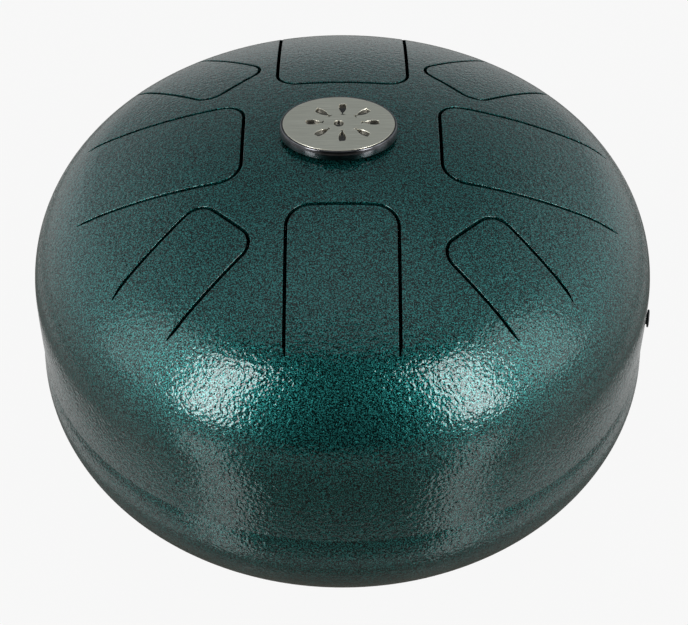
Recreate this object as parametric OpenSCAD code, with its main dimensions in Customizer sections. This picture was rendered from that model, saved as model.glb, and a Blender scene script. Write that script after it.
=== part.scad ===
// Steel tongue drum: two dished steel heads welded rim to rim, with eight tongues cut in the upper one.
// The origin is on the drum's axis at the level of the feet, +Z is up and the player sits on the -Y side.

/* [Heads] */
// Outside radius of the drum
body_r = 152.4; // [140:0.1:170]
// Outside radius of the dished crown of each head
crown_r = 263; // [240:1:300]
// Outside radius of the knuckle between crown and wall
knuckle_r = 61.5; // [52:0.5:66]
// Height of the straight flange on the upper head
upper_flange_h = 38; // [32:0.5:46]
// Height of the straight flange on the lower head
lower_flange_h = 7; // [5:0.5:14]
// Thickness of the steel sheet
wall_t = 2.5; // [2:0.1:3]
// Width of the seam weld on the outside
weld_w = 5; // [3:0.5:7]
// Depth of the seam weld
weld_depth = 1.7; // [1:0.1:1.8]
// How far the ground weld lies below the wall's surface
weld_sink = 0.4; // [0.2:0.05:0.7]

/* [Slots] */
// Width of the slot round each tongue
slot_w = 1.6; // [1:0.1:2]
// Length over which a slot narrows to its end
slot_taper = 4.5; // [4:0.5:12]
// Corner radius at the tip of a wide tongue
wide_corner_r = 10.5; // [7:0.5:13]
// Corner radius at the tip of a narrow tongue
narrow_corner_r = 8.5; // [6:0.5:11]

/* [Front tongue] */
// Width of the front tongue
front_w = 49.8; // [44:0.1:56]
// Distance of its tip from the axis
front_tip = 48.7; // [44:0.1:56]
// Distance of its root from the axis
front_root = 121; // [114:0.1:125]

/* [Front right tongue] */
// Width of the front right tongue
front_right_w = 36.3; // [32:0.1:40]
// Distance of its tip from the axis
front_right_tip = 81; // [76:0.1:88]
// Distance of its root from the axis
front_right_root = 130.2; // [122:0.1:131]

/* [Right tongue] */
// Width of the right tongue
right_w = 56.5; // [50:0.1:60]
// Distance of its tip from the axis
right_tip = 47.4; // [44:0.1:56]
// Distance of its root from the axis
right_root = 130.7; // [122:0.1:131]

/* [Back right tongue] */
// Width of the back right tongue
back_right_w = 37.9; // [32:0.1:41]
// Distance of its tip from the axis
back_right_tip = 73.4; // [70:0.1:84]
// Distance of its root from the axis
back_right_root = 128.5; // [120:0.1:131]

/* [Back tongue] */
// Width of the back tongue
back_w = 62.7; // [54:0.1:64]
// Distance of its tip from the axis
back_tip = 45; // [42:0.1:54]
// Distance of its root from the axis
back_root = 127; // [118:0.1:129]

/* [Back left tongue] */
// Width of the back left tongue
back_left_w = 38; // [32:0.1:41]
// Distance of its tip from the axis
back_left_tip = 73.7; // [70:0.1:84]
// Distance of its root from the axis
back_left_root = 129; // [120:0.1:131]

/* [Left tongue] */
// Width of the left tongue
left_w = 56; // [50:0.1:60]
// Distance of its tip from the axis
left_tip = 48.1; // [44:0.1:56]
// Distance of its root from the axis
left_root = 125.5; // [118:0.1:129]

/* [Front left tongue] */
// Width of the front left tongue
front_left_w = 36.9; // [32:0.1:41]
// Distance of its tip from the axis
front_left_tip = 74.6; // [70:0.1:84]
// Distance of its root from the axis
front_left_root = 129.7; // [122:0.1:131]

/* [Sound port] */
// Radius of the hole cut in the lower head
port_r = 40; // [30:0.5:50]
// Radius of the rubber edging's round section
trim_r = 3.4; // [2.8:0.1:4.5]

/* [Feet] */
// Height of the lower crown above the table
ground_gap = 6; // [4:0.5:14]
// Distance of each foot from the axis
foot_pitch_r = 78; // [72:1:90]
// Radius of a foot's flat base
foot_base_r = 12.5; // [11:0.5:16]
// Radius of a foot where it meets the head
foot_top_r = 15; // [12:0.5:18]
// Radius of the recess that hides the screw head
recess_r = 7; // [6.4:0.1:8]
// Depth of that recess
recess_h = 8; // [6.5:0.5:10]
// Radius of the rubber saddle inside the head
saddle_r = 8; // [7:0.5:10]
// Least thickness of the saddle
saddle_t = 1.6; // [1:0.1:4]

/* [Foot fasteners] */
// Radius of the screw's shank
screw_r = 2.5; // [2:0.1:3]
// Radius of the screw's head
screw_head_r = 4.6; // [4:0.1:5.5]
// Height of the screw's head
screw_head_h = 2.8; // [2:0.1:3.5]
// Radius of the washers
washer_r = 6; // [5.6:0.1:6.2]
// Thickness of the washers
washer_t = 1; // [0.8:0.1:1.5]
// Width of the nut across its flats
nut_af = 8; // [7:0.1:10]
// Height of the nut's hexagon
nut_h = 4; // [3:0.1:6]
// Height of the nylon collar on the nut
nut_collar_h = 1; // [0.5:0.1:2]
// How far the screw stands out of the nut
screw_end = 1.5; // [1:0.1:3]

/* [Badge] */
// Width of the badge from left to right
badge_w = 56; // [52:0.5:62]
// Depth of the badge from front to back
badge_d = 44.5; // [42:0.5:48]
// How far the badge is glued to the left of the axis
badge_left = 1.75; // [0:0.05:3]
// How far the badge is glued to the front of the axis
badge_front = 0.9; // [0:0.1:3]
// Height of the badge's side
badge_h = 4.6; // [3:0.1:5]
// Thickness of the adhesive pad at the top of the dome
pad_t = 0.6; // [0.6:0.1:1.6]
// Thickness of the glue that holds the pad on the crown
glue_t = 0.1; // [0.05:0.05:0.2]
// How far the pad stays in from the badge's edge
pad_inset = 5; // [4:0.5:8]
// Width of the badge's rim
rim_w = 0.8; // [0.6:0.1:1.4]
// Depth of the badge's recess
badge_recess = 1.5; // [1.2:0.1:1.8]
// Thickness of the enamel in the recess
enamel_t = 0.4; // [0.2:0.1:0.6]
// Width of the enamel that shows between rim and face plate
enamel_ring_w = 0.8; // [0.6:0.1:2]
// Thickness of the face plate
face_t = 1.3; // [1:0.1:1.6]
// Length of a petal cut in the face plate
petal_l = 9; // [7:0.1:10]
// Width of a petal cut in the face plate
petal_w = 3.4; // [2.5:0.1:4]
// Radius of the round cut in the middle of the face plate
centre_cut_r = 2.3; // [1.5:0.1:3]

/* [Side plug] */
// Radius of the hole in the wall
plug_hole_r = 3; // [2.5:0.1:3.6]
// Angle from the middle of the right tongue to the hole, towards the player
plug_azimuth = 7.3; // [3:0.1:12]
// Radius of the plug's head
plug_head_r = 4.5; // [4:0.1:6]
// Thickness of the plug's head
plug_head_t = 0.9; // [0.7:0.1:2]
// Length of neck between the wall and the head
plug_neck = 0.8; // [0.6:0.1:2]
// How far the plug reaches inside the wall
plug_reach = 3.5; // [2.5:0.5:6]

/* [Hidden] */
$fn = 128;
// Facets of a crown where a thin piece is cut to it
crown_fn = 256;

// Finishes
coat = "#24625c";
rubber = "#1b1b1c";
zinc = "#b9bbbd";
dark_chrome = "#4a4a4c";
enamel = "#26231f";
nickel = "#c3bfae";
foam = "#101010";

// Clearances, and the overrun of every cut
root_gap = 0.15;
side_gap = 0.15;
plug_gap = 0.05;
hole_gap = 0.2;
overrun = 1;

// Shares of the size that each one follows
weld_root_share = 0.12;
badge_end_share = 0.78;
petal_place_share = 0.53;
petal_count = 8;
screw_socket_share = 0.5;
screw_socket_r_share = 0.5;
plug_tip_share = 0.8;

// Outline of a head, then the levels of the seam, the upper knuckle and the crown
knuckle_x = body_r - knuckle_r;
crown_drop = sqrt(pow(crown_r - knuckle_r, 2) - pow(knuckle_x, 2));
crown_a = atan2(knuckle_x, crown_drop);
dish_h = crown_r - crown_drop;
seam_z = ground_gap + dish_h + lower_flange_h;
knuckle_z = seam_z + upper_flange_h;
crown_top_z = knuckle_z + dish_h;

// Each tongue's azimuth, width, tip, root and corner radius
front = [-90, front_w, front_tip, front_root, wide_corner_r];
front_right = [-45, front_right_w, front_right_tip, front_right_root, narrow_corner_r];
right = [0, right_w, right_tip, right_root, wide_corner_r];
back_right = [45, back_right_w, back_right_tip, back_right_root, narrow_corner_r];
back = [90, back_w, back_tip, back_root, wide_corner_r];
back_left = [135, back_left_w, back_left_tip, back_left_root, narrow_corner_r];
left = [180, left_w, left_tip, left_root, wide_corner_r];
front_left = [-135, front_left_w, front_left_tip, front_left_root, narrow_corner_r];
tongues = [front, front_right, right, back_right, back, back_left, left, front_left];

// Azimuths of the feet
foot_azimuths = [-45, 45, 135, -135];

// Levels of the foot fasteners, from the table up
lower_crown_z = ground_gap + crown_r;
washer_z = recess_h - washer_t;
inner_crown_r = crown_r - wall_t;
foot_cut_z = lower_crown_z - sqrt(pow(crown_r, 2) - pow(foot_pitch_r + foot_top_r, 2));
saddle_edge_r = foot_pitch_r + saddle_r;
saddle_z = lower_crown_z - sqrt(pow(inner_crown_r, 2) - pow(saddle_edge_r, 2)) + saddle_t;
nut_z = saddle_z + washer_t;
screw_top_z = nut_z + nut_h + nut_collar_h + screw_end;

// Arcs of the badge's oval: the end arcs' radius and centre, then the side arcs' radius and centre
oval_end_r = badge_d / 2 * badge_end_share;
oval_end_x = badge_w / 2 - oval_end_r;
oval_rise = badge_d / 2 - oval_end_r;
oval_side_y = (pow(oval_end_x, 2) - pow(oval_rise, 2)) / (2 * oval_rise);
oval_side_r = badge_d / 2 + oval_side_y;
oval_join_x = oval_end_x * oval_side_r / (oval_side_r - oval_end_r);

// Levels of the badge
badge_z = crown_top_z + pad_t;
badge_top_z = badge_z + badge_h;
enamel_z = badge_top_z - badge_recess;
face_z = enamel_z + enamel_t;

// Everything inside a head's surface moved inwards by inset, in half section, with the knuckle's centre on X.
module head_area(inset, flange_h) {
    translate([0, -flange_h]) square([body_r - inset, flange_h]);
    translate([knuckle_x, 0]) intersection() {
        circle(knuckle_r - inset);
        square(knuckle_r);
    }
    intersection() {
        translate([0, -crown_drop]) circle(crown_r - inset);
        polygon([
            [0, 0],
            [knuckle_x, 0],
            [knuckle_x + crown_r * sin(crown_a), crown_r * cos(crown_a)],
            [0, crown_r * cos(crown_a)]
        ]);
    }
}

// Half of the weld's groove in half section, cut into a rim that lies on X.
module weld_groove() {
    polygon([
        [body_r - weld_depth, -overrun],
        [body_r - weld_depth, weld_w / 2 * weld_root_share],
        [body_r, weld_w / 2],
        [body_r + overrun, weld_w / 2],
        [body_r + overrun, -overrun]
    ]);
}

// The pressed sheet of one head, with its rim on the seam and its crown upwards.
module head(flange_h) {
    rotate_extrude() difference() {
        translate([0, flange_h]) head_area(0, flange_h);
        translate([0, flange_h]) head_area(wall_t, flange_h + overrun);
        weld_groove();
    }
}

// A ball with the fine facets that a thin piece on a crown needs.
module crown_ball(r) {
    rotate_extrude() intersection() {
        circle(r, $fn = crown_fn);
        translate([0, -r]) square([r, 2 * r]);
    }
}

// A tongue's outline seen from above, with its tip towards the axis.
module tongue_plan(w, tip, root, corner) {
    translate([tip + corner, -w / 2]) square([root - tip - corner, w]);
    translate([tip, corner - w / 2]) square([2 * corner, w - 2 * corner]);
    for (side = [-1, 1]) translate([tip + corner, side * (w / 2 - corner)]) circle(corner);
}

// The outline of the opening that a tongue lies in, whose slots narrow towards the root.
module window_plan(w, tip, root, corner) {
    narrow_from = root - slot_taper;
    tongue_plan(w + 2 * slot_w, tip - slot_w, narrow_from, corner + slot_w);
    polygon([
        [narrow_from - overrun, w / 2 + slot_w],
        [narrow_from, w / 2 + slot_w],
        [root, w / 2 + side_gap],
        [root, -w / 2 - side_gap],
        [narrow_from, -w / 2 - slot_w],
        [narrow_from - overrun, -w / 2 - slot_w]
    ]);
}

// A prism through the crown that stands on a plan drawn at a tongue's azimuth.
module through_crown(azimuth) {
    rotate(azimuth) translate([0, 0, upper_flange_h]) linear_extrude(dish_h + overrun) children();
}

module top_shell() {
    color(coat) difference() {
        translate([0, 0, seam_z]) difference() {
            head(upper_flange_h);
            for (t = tongues) through_crown(t[0]) window_plan(t[1], t[2], t[3], t[4]);
        }
        at_plug() translate([0, 0, -wall_t - overrun]) cylinder(h = wall_t + 2 * overrun, r = plug_hole_r);
    }
}

module tongue(t) {
    color(coat) translate([0, 0, seam_z]) intersection() {
        head(upper_flange_h);
        through_crown(t[0]) tongue_plan(t[1], t[2], t[3] - root_gap, t[4]);
    }
}

module tongue_front() tongue(front);
module tongue_front_right() tongue(front_right);
module tongue_right() tongue(right);
module tongue_back_right() tongue(back_right);
module tongue_back() tongue(back);
module tongue_back_left() tongue(back_left);
module tongue_left() tongue(left);
module tongue_front_left() tongue(front_left);

// Places a child at one foot's axis.
module at_foot(azimuth) rotate(azimuth) translate([foot_pitch_r, 0, 0]) children();

// Places a child in the plug's hole half way up the upper flange, with the child's +Z pointing out of the wall.
module at_plug() {
    rotate(-plug_azimuth) translate([body_r, 0, seam_z + upper_flange_h / 2]) rotate([0, 90, 0]) children();
}

module bottom_shell() {
    color(coat) difference() {
        translate([0, 0, seam_z]) mirror([0, 0, 1]) head(lower_flange_h);
        cylinder(h = seam_z, r = port_r);
        for (azimuth = foot_azimuths) at_foot(azimuth) cylinder(h = nut_z, r = screw_r + hole_gap);
    }
}

module seam_weld() {
    root_h = weld_w * weld_root_share;
    face_h = weld_w - (weld_w - root_h) * weld_sink / weld_depth;
    color(coat) translate([0, 0, seam_z]) rotate_extrude() polygon([
        [body_r - weld_depth, -root_h / 2],
        [body_r - weld_sink, -face_h / 2],
        [body_r - weld_sink, face_h / 2],
        [body_r - weld_depth, root_h / 2]
    ]);
}

module port_trim() {
    sheet_r = crown_r - wall_t / 2;
    edge_z = sqrt(pow(sheet_r, 2) - pow(port_r, 2));
    color(rubber) translate([0, 0, lower_crown_z]) mirror([0, 0, 1]) rotate_extrude() difference() {
        translate([port_r, edge_z]) circle(trim_r);
        intersection() {
            difference() {
                circle(crown_r);
                circle(inner_crown_r);
            }
            translate([port_r, 0]) square(crown_r);
        }
    }
}

module foot(azimuth) {
    color(rubber) at_foot(azimuth) difference() {
        cylinder(h = foot_cut_z, r1 = foot_base_r, r2 = foot_top_r);
        translate([-foot_pitch_r, 0, lower_crown_z]) crown_ball(crown_r);
        translate([0, 0, -overrun]) cylinder(h = recess_h + overrun, r = recess_r);
        cylinder(h = nut_z, r = screw_r + hole_gap);
    }
}

module foot_front_right() foot(foot_azimuths[0]);
module foot_back_right() foot(foot_azimuths[1]);
module foot_back_left() foot(foot_azimuths[2]);
module foot_front_left() foot(foot_azimuths[3]);

module foot_saddles() {
    color(rubber) for (azimuth = foot_azimuths) at_foot(azimuth) difference() {
        intersection() {
            cylinder(h = saddle_z, r = saddle_r);
            translate([-foot_pitch_r, 0, lower_crown_z]) crown_ball(inner_crown_r);
        }
        cylinder(h = nut_z, r = screw_r + hole_gap);
    }
}

module foot_screws() {
    color(zinc) for (azimuth = foot_azimuths) at_foot(azimuth) difference() {
        union() {
            translate([0, 0, washer_z - screw_head_h]) cylinder(h = screw_head_h, r = screw_head_r);
            translate([0, 0, washer_z - overrun]) cylinder(h = screw_top_z - washer_z + overrun, r = screw_r);
        }
        translate([0, 0, washer_z - screw_head_h - overrun])
            cylinder(h = screw_head_h * screw_socket_share + overrun, r = screw_head_r * screw_socket_r_share, $fn = 6);
    }
}

// A ring of flat washers, one on each foot's axis, lying on level z.
module washers(z) {
    color(zinc) for (azimuth = foot_azimuths) at_foot(azimuth) translate([0, 0, z]) difference() {
        cylinder(h = washer_t, r = washer_r);
        translate([0, 0, -overrun]) cylinder(h = washer_t + 2 * overrun, r = screw_r + hole_gap);
    }
}

module foot_washers() washers(washer_z);
module nut_washers() washers(saddle_z);

module foot_nuts() {
    collar_r = nut_af / 2;
    color(zinc) for (azimuth = foot_azimuths) at_foot(azimuth) translate([0, 0, nut_z]) difference() {
        union() {
            cylinder(h = nut_h, r = nut_af / 2 / cos(30), $fn = 6);
            cylinder(h = nut_h + nut_collar_h, r = collar_r);
        }
        translate([0, 0, -overrun]) cylinder(h = nut_h + nut_collar_h + 2 * overrun, r = screw_r);
    }
}

// The badge's oval drawn with four arcs, moved inwards by inset.
module oval(inset) {
    for (side = [-1, 1]) translate([side * oval_end_x, 0]) circle(oval_end_r - inset);
    intersection() {
        translate([0, oval_side_y]) circle(oval_side_r - inset);
        translate([0, -oval_side_y]) circle(oval_side_r - inset);
        square([2 * oval_join_x, badge_d], center = true);
    }
}

// A pointed petal that lies along X, where two circles overlap.
module petal() {
    arc_r = (pow(petal_l, 2) + pow(petal_w, 2)) / (4 * petal_w);
    intersection_for (side = [-1, 1]) translate([0, side * (arc_r - petal_w / 2)]) circle(arc_r);
}

// Puts what is centred on the axis under the badge's centre.
module at_badge(level) {
    translate([-badge_left, -badge_front, level]) children();
}

module badge_pad() {
    color(foam) difference() {
        at_badge(crown_top_z - pad_inset) linear_extrude(pad_inset + pad_t) oval(pad_inset);
        translate([0, 0, crown_top_z - crown_r]) crown_ball(crown_r + glue_t);
    }
}

module badge_base() {
    color(dark_chrome) at_badge(badge_z) difference() {
        linear_extrude(badge_h) oval(0);
        translate([0, 0, badge_h - badge_recess]) linear_extrude(badge_h) oval(rim_w);
    }
}

module badge_enamel() {
    color(enamel) at_badge(enamel_z) linear_extrude(enamel_t) oval(rim_w);
}

module badge_face() {
    color(nickel) at_badge(face_z) linear_extrude(face_t) difference() {
        oval(rim_w + enamel_ring_w);
        circle(centre_cut_r);
        for (k = [0 : petal_count - 1]) {
            turn = 360 * k / petal_count;
            place_x = badge_w / 2 * petal_place_share * cos(turn);
            place_y = badge_d / 2 * petal_place_share * sin(turn);
            translate([place_x, place_y]) rotate(atan2(place_y, place_x)) petal();
        }
    }
}

module side_plug() {
    stem_r = plug_hole_r - plug_gap;
    color(rubber) at_plug() {
        translate([0, 0, -wall_t]) cylinder(h = wall_t + plug_neck + plug_head_t, r = stem_r);
        translate([0, 0, plug_neck]) cylinder(h = plug_head_t, r = plug_head_r);
        translate([0, 0, -wall_t - plug_reach]) cylinder(h = plug_reach, r1 = stem_r * plug_tip_share, r2 = stem_r);
    }
}

top_shell();
tongue_front();
tongue_front_right();
tongue_right();
tongue_back_right();
tongue_back();
tongue_back_left();
tongue_left();
tongue_front_left();
bottom_shell();
seam_weld();
port_trim();
foot_front_right();
foot_back_right();
foot_back_left();
foot_front_left();
foot_saddles();
foot_screws();
foot_washers();
nut_washers();
foot_nuts();
badge_pad();
badge_base();
badge_enamel();
badge_face();
side_plug();
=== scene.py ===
"""A steel tongue drum: two heads welded rim to rim, eight cut tongues, a badge, edging, feet and a plug."""

import logging
import math
from contextlib import contextmanager
from dataclasses import dataclass
from enum import Enum
from typing import Callable, Iterator, Optional, Sequence, Union

import bmesh
import bpy
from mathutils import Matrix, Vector


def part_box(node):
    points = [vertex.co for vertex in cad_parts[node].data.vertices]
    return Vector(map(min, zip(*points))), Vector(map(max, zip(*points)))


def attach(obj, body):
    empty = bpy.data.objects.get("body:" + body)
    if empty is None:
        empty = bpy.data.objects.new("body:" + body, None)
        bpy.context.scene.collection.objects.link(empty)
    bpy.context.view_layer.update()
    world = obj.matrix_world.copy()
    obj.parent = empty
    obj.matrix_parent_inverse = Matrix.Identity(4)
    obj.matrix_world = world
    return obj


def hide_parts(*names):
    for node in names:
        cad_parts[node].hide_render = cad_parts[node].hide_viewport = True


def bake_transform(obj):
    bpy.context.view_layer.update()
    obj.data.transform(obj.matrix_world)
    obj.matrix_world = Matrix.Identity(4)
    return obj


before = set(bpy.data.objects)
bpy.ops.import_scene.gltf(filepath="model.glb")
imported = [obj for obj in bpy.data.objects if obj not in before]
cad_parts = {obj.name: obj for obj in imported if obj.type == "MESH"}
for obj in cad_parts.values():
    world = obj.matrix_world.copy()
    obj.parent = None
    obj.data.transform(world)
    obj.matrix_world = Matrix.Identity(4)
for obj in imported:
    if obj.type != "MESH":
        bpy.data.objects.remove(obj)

LOG = logging.getLogger("drum")
MM = 0.001
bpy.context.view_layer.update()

# Points closer than this are one point
MERGE = 0.00001
# Steps round a body that is spun about the drum's axis
ROUND_STEPS = 256
# Steps round a small turned part
SMALL_STEPS = 48
# Edges that turn less than this are shaded as one surface
SMOOTH_ANGLE = math.radians(50)

# Middle point of a rounding that is made of two flat steps, as shares of its radius
ROUND_NEAR = 0.29
ROUND_FAR = 0.71
# Radius of the sound port
PORT_R = 40 * MM

Point = tuple[float, float, float]
Pair = tuple[float, float]
# Places along a colour ramp, with their sRGB hex colours
Stops = Sequence[tuple[float, str]]
Object = bpy.types.Object
Socket = bpy.types.NodeSocket
Number = Union[Socket, float]
Colour = Union[Socket, tuple[float, ...]]
WHITE = (1.0, 1.0, 1.0, 1.0)


class Slot(Enum):
    """Material slots that the record names."""

    COAT = "coated_steel"
    FOOT = "foot_rubber"
    EDGING = "edging_rubber"
    PLUG = "plug_rubber"
    ZINC = "zinc_steel"
    CHROME = "badge_metal"
    ENAMEL = "badge_enamel"
    NICKEL = "badge_plate"
    FOAM = "badge_foam"


class Body(Enum):
    """Bodies that don't belong to one tongue."""

    DRUM = "drum"
    PLUG = "side_plug"


# Modelling moves


def only(obj: Object) -> None:
    """Makes one object the only selected one, and the active one.

    Args:
        obj: The object.
    """
    bpy.ops.object.select_all(action="DESELECT")
    obj.select_set(True)
    bpy.context.view_layer.objects.active = obj


def added(name: str, primitive: Callable[..., set], **settings: object) -> Object:
    """Adds a primitive as the only selected object.

    Args:
        name: Name of the object and its mesh.
        primitive: Operator that adds it.
        settings: What the operator is given.

    Returns:
        The object.
    """
    bpy.ops.object.select_all(action="DESELECT")
    primitive(**settings)
    obj = bpy.context.view_layer.objects.active
    obj.name = name
    obj.data.name = name
    return obj


@contextmanager
def editing(obj: Object) -> Iterator[None]:
    """Opens an object in edit mode with everything in it selected, and leaves edit mode at the end.

    Args:
        obj: The object.
    """
    only(obj)
    bpy.ops.object.mode_set(mode="EDIT")
    bpy.ops.mesh.select_mode(type="VERT")
    bpy.ops.mesh.select_all(action="SELECT")
    yield
    bpy.ops.object.mode_set(mode="OBJECT")


def pick_points(obj: Object, test: Callable[[bmesh.types.BMVert], bool]) -> None:
    """Selects only the points that pass a test, in edit mode.

    Args:
        obj: Object that is open in edit mode.
        test: Says whether a point belongs to the selection.
    """
    bpy.ops.mesh.select_all(action="DESELECT")
    mesh = bmesh.from_edit_mesh(obj.data)
    for vert in mesh.verts:
        vert.select = test(vert)
    mesh.select_flush_mode()
    bmesh.update_edit_mesh(obj.data)


def move_points(obj: Object, place: Callable[[Vector], Vector]) -> None:
    """Moves each point of a mesh to the place that a function gives for it.

    Args:
        obj: Object in object mode.
        place: Gives the new place of a point.
    """
    for vert in obj.data.vertices:
        vert.co = place(vert.co)
    obj.data.update()


def tidy_mesh(obj: Object) -> None:
    """Merges doubled points and turns every face outwards.

    Args:
        obj: Closed body in object mode.
    """
    with editing(obj):
        bpy.ops.mesh.remove_doubles(threshold=MERGE)
        bpy.ops.mesh.normals_make_consistent(inside=False)
    mesh = bmesh.new()
    mesh.from_mesh(obj.data)
    inside_out = mesh.calc_volume(signed=True) < 0
    mesh.free()
    if inside_out:
        with editing(obj):
            bpy.ops.mesh.flip_normals()


def spun(name: str, outline: Sequence[Point], closed: bool, steps: int, centre: Point = (0, 0, 0)) -> Object:
    """Draws a half section point by point and spins it about an upright axis.

    Args:
        name: Name of the piece.
        outline: Points of the half section, beside the axis in the XZ plane.
        closed: True joins the last point to the first, False leaves both ends on the axis.
        steps: Steps round the axis.
        centre: A point of the axis.

    Returns:
        A closed body of revolution.
    """
    points = [Vector(point) + Vector(centre) for point in outline]
    obj = added(name, bpy.ops.mesh.primitive_plane_add, size=MM)
    with editing(obj):
        bpy.ops.mesh.merge(type="CENTER")
        bpy.ops.transform.translate(value=points[0])
        for start, end in zip(points, points[1:]):
            bpy.ops.mesh.extrude_region_move(TRANSFORM_OT_translate={"value": end - start})
        if closed:
            last = len(points) - 1
            pick_points(obj, lambda vert: vert.index in (0, last))
            bpy.ops.mesh.edge_face_add()
        bpy.ops.mesh.select_all(action="SELECT")
        bpy.ops.mesh.spin(steps=steps, angle=math.tau, center=centre, axis=(0, 0, 1))
    tidy_mesh(obj)
    return obj


def apply_modifier(obj: Object, kind: str, **settings: object) -> None:
    """Adds a modifier to a piece, sets it and applies it.

    Args:
        obj: Piece to change.
        kind: Type of the modifier.
        settings: Its properties.
    """
    only(obj)
    modifier = obj.modifiers.new(kind.title(), kind)
    for key, value in settings.items():
        setattr(modifier, key, value)
    bpy.ops.object.modifier_apply(modifier=modifier.name)


def combine(obj: Object, tool: Object, operation: str) -> None:
    """Cuts a piece with a tool, or keeps what lies in it, and removes the tool."""
    apply_modifier(obj, "BOOLEAN", object=tool, operation=operation, solver="EXACT")
    bpy.data.objects.remove(tool)


def joined(parts: Sequence[Object]) -> Object:
    """Joins objects into one.

    Args:
        parts: The objects.

    Returns:
        The first of them, which holds them all.
    """
    bpy.ops.object.select_all(action="DESELECT")
    for part in parts:
        part.select_set(True)
    bpy.context.view_layer.objects.active = parts[0]
    bpy.ops.object.join()
    return parts[0]


def copied(obj: Object, name: str) -> Object:
    """Copies an object together with its mesh.

    Args:
        obj: Object to copy.
        name: Name of the copy.

    Returns:
        The copy.
    """
    twin = obj.copy()
    twin.data = obj.data.copy()
    twin.name = name
    twin.data.name = name
    bpy.context.scene.collection.objects.link(twin)
    return twin


def turned(obj: Object, rotation: Point, location: Point = (0, 0, 0)) -> Object:
    """Turns and moves an object, and puts its new place into its mesh.

    Args:
        obj: The object.
        rotation: Turns about X, Y and Z in radians.
        location: Its new place.

    Returns:
        The same object.
    """
    obj.rotation_euler = rotation
    obj.location = location
    only(obj)
    bpy.ops.object.transform_apply(location=True, rotation=True, scale=True)
    return obj


def shaded(obj: Object) -> None:
    """Shades a piece smoothly, with large faces deciding how a shared point is lit.

    Args:
        obj: The piece.
    """
    only(obj)
    bpy.ops.object.shade_smooth_by_angle(angle=SMOOTH_ANGLE)
    apply_modifier(obj, "WEIGHTED_NORMAL", mode="FACE_AREA", keep_sharp=True)


def arc(centre_x: float, centre_z: float, radius: float, start: float, end: float, steps: int) -> list[Point]:
    """Points of an arc in the XZ plane.

    Args:
        centre_x: X of the centre.
        centre_z: Z of the centre.
        radius: Radius.
        start: First angle in degrees, from +X towards +Z.
        end: Last angle in degrees.
        steps: Number of steps between them.

    Returns:
        The points, both ends included.
    """
    angles = [math.radians(start + (end - start) * k / steps) for k in range(steps + 1)]
    return [(centre_x + radius * math.cos(a), 0, centre_z + radius * math.sin(a)) for a in angles]


def stacked(obj: Object, moves: Sequence[Pair]) -> None:
    """Builds a flat outline up into a solid, ring by ring, along its face's own normal.

    Args:
        obj: Object that holds one flat face.
        moves: One inset and one height for each ring. An inset of zero is a straight wall.
    """
    with editing(obj):
        normal = obj.data.polygons[0].normal.copy()
        for inset, height in moves:
            if inset:
                bpy.ops.mesh.inset(thickness=inset, depth=height, use_even_offset=True)
            else:
                bpy.ops.mesh.extrude_region_move(TRANSFORM_OT_translate={"value": normal * height})
        bpy.ops.mesh.select_all(action="SELECT")
        bpy.ops.mesh.fill_holes(sides=0)
    tidy_mesh(obj)


def sliced(obj: Object, axis: Vector, places: Sequence[float]) -> None:
    """Cuts new edges right round a mesh.

    Args:
        obj: Object in object mode.
        axis: Direction that the cuts are square to.
        places: Distances along the axis, one for each cut.
    """
    with editing(obj):
        for place in places:
            bpy.ops.mesh.select_all(action="SELECT")
            bpy.ops.mesh.bisect(plane_co=axis * place, plane_no=axis)


def spread(start: float, end: float, step: float) -> list[float]:
    """Places between two ends, evenly spread and about a step apart, without the ends."""
    count = max(2, round(abs(end - start) / step))
    return [start + (end - start) * k / count for k in range(1, count)]


def settle(obj: Object, body: Body, slot: Slot, finish: "Finish", *nodes: str) -> None:
    """Gives a finished piece its finish, hides the nodes it stands for and puts it on its body.

    Args:
        obj: The piece.
        body: Body that carries it.
        slot: Material slot of the record; not used.
        finish: Finish that dresses it.
        nodes: CAD nodes that it stands for.
    """
    dress(obj, finish)
    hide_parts(*nodes)
    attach(obj, body.value)
    LOG.info("%s rides on %s, %d faces", obj.name, body.value, len(obj.data.polygons))


def dress(obj: Object, finish: "Finish") -> None:
    """Puts a finish in place of all the materials of an object."""
    obj.data.materials.clear()
    obj.data.materials.append(finish.material())


# Node trees


def linear(colour: str) -> tuple[float, float, float, float]:
    """Turns an sRGB hex value such as #336699 into linear red, green, blue and alpha."""
    parts = [int(colour[k:k + 2], 16) / 255 for k in (1, 3, 5)]
    return (*[p / 12.92 if p <= 0.04045 else ((p + 0.055) / 1.055) ** 2.4 for p in parts], 1.0)


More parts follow.
